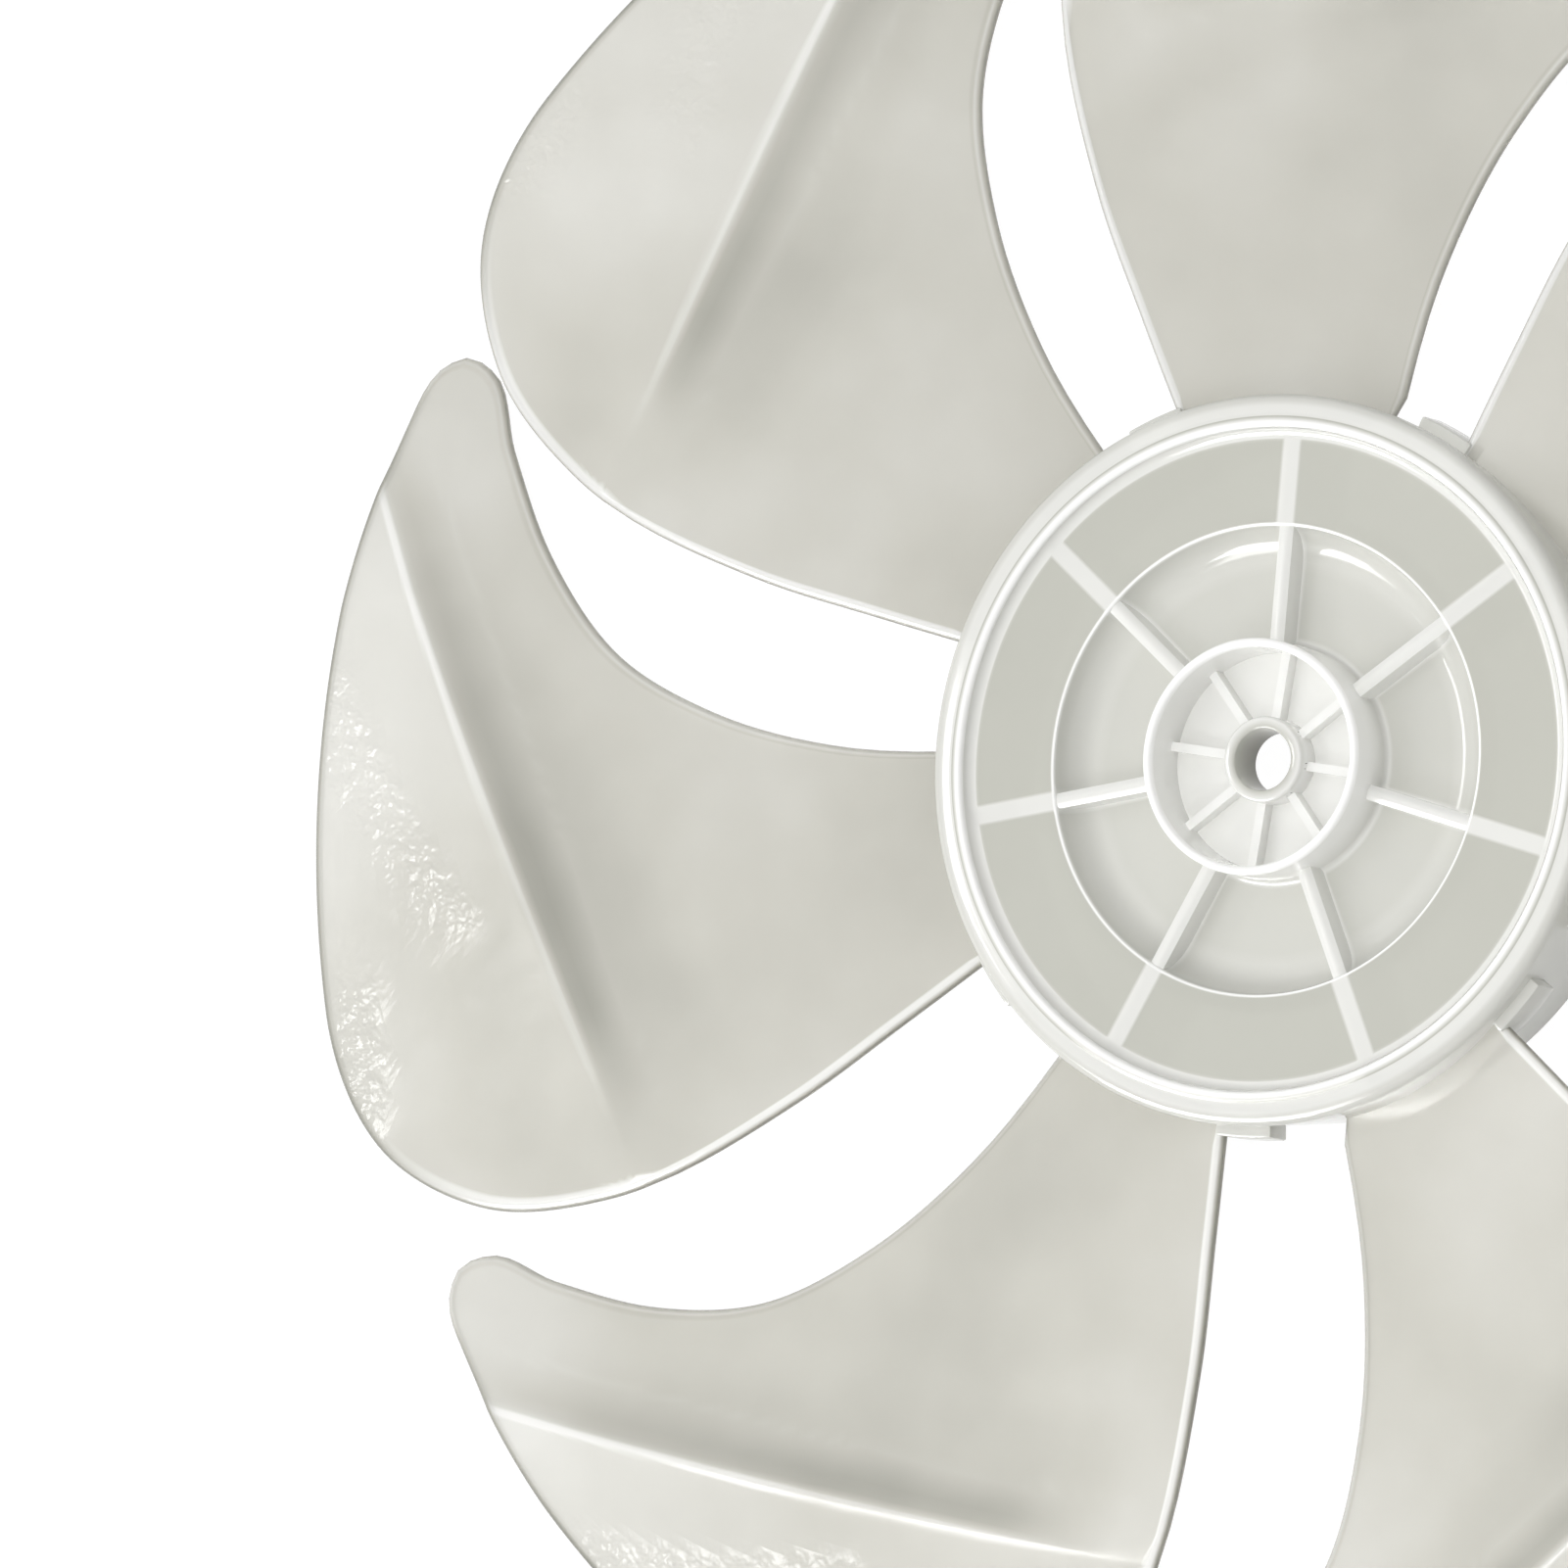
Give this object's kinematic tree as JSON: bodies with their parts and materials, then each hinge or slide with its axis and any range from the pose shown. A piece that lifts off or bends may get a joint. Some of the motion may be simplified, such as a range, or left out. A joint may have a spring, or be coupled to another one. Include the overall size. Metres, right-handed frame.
{
  "type": "pedestal fan blade",
  "caption": "One-piece moulded fan rotor with swept, twisted and folded blades around a shallow cup hub with a shaft bore, in clear smoke-grey plastic.",
  "frame": {"origin": "on the shaft axis, in the plane of the hub skirt's rear edge", "axes": "+Z along the shaft axis towards the front of the fan, +X along the hub rib behind one blade"},
  "size_m": [0.288, 0.2866, 0.0255],
  "materials": {
    "smoke_plastic": "clear smoke-grey, glossy"
  },
  "bodies": {
    "root": {"fan_blade": "smoke_plastic"}
  },
  "joints": []
}
